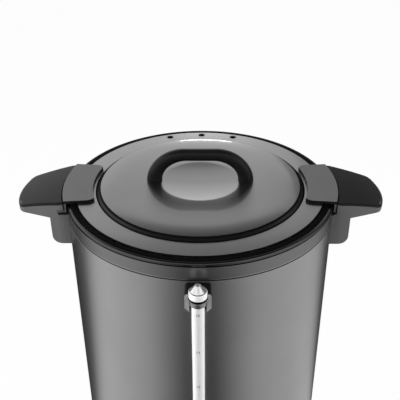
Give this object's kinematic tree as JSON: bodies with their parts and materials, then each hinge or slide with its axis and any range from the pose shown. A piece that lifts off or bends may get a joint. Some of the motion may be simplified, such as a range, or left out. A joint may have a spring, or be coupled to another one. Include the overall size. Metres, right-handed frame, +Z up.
{
  "type": "hot water urn",
  "caption": "Free-standing electric hot water urn with a double wall, twist-lock lid, side handles, front sight glass, sprung lever tap and control panel.",
  "frame": {"origin": "on the urn's axis, at the level of the table that it stands on", "axes": "+Z up along the urn's axis; the tap and the sight glass face -Y; +X is to the right of a person facing the tap"},
  "size_m": [0.385, 0.3465, 0.5424],
  "materials": {
    "paint": "satin dark grey paint with a fine texture",
    "handle_plastic": "black moulded plastic, fine grain",
    "arch_plastic": "black moulded plastic, half gloss",
    "base_plastic": "black moulded plastic, fine grain",
    "rubber": "matt black rubber",
    "tank_steel": "brushed stainless sheet",
    "screw_steel": "plated steel",
    "bright_chrome": "bright chrome",
    "ferrule_grey": "dull grey metal",
    "gauge_glass": "clear glass",
    "heater_aluminium": "cast",
    "element_steel": "heat-tinted",
    "wool": "pressed mineral wool",
    "pale_plastic": "moulded",
    "copper": "drawn copper",
    "nut_brass": "machined brass",
    "amber_lens": "clear amber",
    "red_lens": "clear red",
    "rocker_plastic": "gloss red",
    "reset_plastic": "gloss red"
  },
  "bodies": {
    "urn": {"feet": "rubber", "foot_screws": "screw_steel", "base_pan": "tank_steel", "base_skirt": "base_plastic", "shell_screws": "screw_steel", "outer_shell": "paint", "insulation": "wool", "inner_tank": "tank_steel", "top_collar": "paint", "heater_plate": "heater_aluminium", "heating_element": "element_steel", "thermal_cutout": "pale_plastic", "thermostat": "pale_plastic", "thermostat_probe": "copper", "control_panel": "base_plastic", "panel_screws": "screw_steel", "power_switch": "base_plastic", "power_lamp": "amber_lens", "heating_lamp": "red_lens", "power_inlet": "base_plastic", "inlet_pins": "screw_steel", "inlet_screws": "screw_steel", "terminal_block": "pale_plastic", "left_handle": "handle_plastic", "right_handle": "handle_plastic", "handle_screws": "screw_steel", "gauge_tube": "gauge_glass", "gauge_cap": "bright_chrome", "gauge_cap_seal": "rubber", "gauge_ferrule": "ferrule_grey", "gauge_bracket": "handle_plastic", "gauge_screws": "screw_steel", "gauge_nut": "bright_chrome", "gauge_seal": "rubber", "tap_body": "bright_chrome", "tap_washer": "rubber", "tap_inner_washer": "rubber", "tap_nut": "nut_brass", "tap_bonnet": "bright_chrome", "tap_spring": "screw_steel"},
    "lid_ring": {"lid_seal": "rubber"},
    "lid": {"lid_pan": "paint", "lid_handle": "arch_plastic", "lid_handle_screws": "screw_steel", "lid_ear_left": "handle_plastic", "lid_ear_right": "handle_plastic", "ear_screws": "screw_steel"},
    "tap_valve": {"tap_stem": "screw_steel", "tap_seat_cup": "rubber", "lever_pin": "screw_steel"},
    "tap_lever": {"tap_lever": "arch_plastic"},
    "dial": {"thermostat_knob": "arch_plastic", "thermostat_shaft": "screw_steel"},
    "rocker": {"rocker": "rocker_plastic"},
    "reset_button": {"reset_button": "reset_plastic"}
  },
  "joints": [
    {"name": "lid_lift", "type": "slide", "parent": "urn", "child": "lid_ring", "axis": [0, 0, 1], "range_m": [0, 0.3]},
    {"name": "lid_turn", "type": "hinge", "parent": "lid_ring", "child": "lid", "pos_m": [0, 0, 0.5], "axis": [0, 0, 1], "range_deg": [0, 40]},
    {"name": "tap_lift", "type": "slide", "parent": "urn", "child": "tap_valve", "axis": [0, 0, 1], "range_m": [0, 0.004], "stiffness_N_per_m": 600, "springref_m": -0.006, "deforming": ["tap_spring"]},
    {"name": "tap_open", "type": "hinge", "parent": "tap_valve", "child": "tap_lever", "pos_m": [0, -0.1885, 0.1673], "axis": [1, 0, 0], "range_deg": [0, 40]},
    {"name": "dial_turn", "type": "hinge", "parent": "urn", "child": "dial", "pos_m": [0, -0.148, 0.051], "axis": [0, 1, 0], "range_deg": [0, 270]},
    {"name": "rocker_tip", "type": "hinge", "parent": "urn", "child": "rocker", "pos_m": [-0.04, -0.1455, 0.051], "axis": [1, 0, 0], "range_deg": [0, 16]},
    {"name": "reset_press", "type": "slide", "parent": "urn", "child": "reset_button", "axis": [0, 0, 1], "range_m": [0, 0.002], "stiffness_N_per_m": 200, "springref_m": -0.002}
  ],
  "couplings": [
    {"joint": "tap_open", "follows": "tap_lift", "rad_per_m": 174}
  ]
}
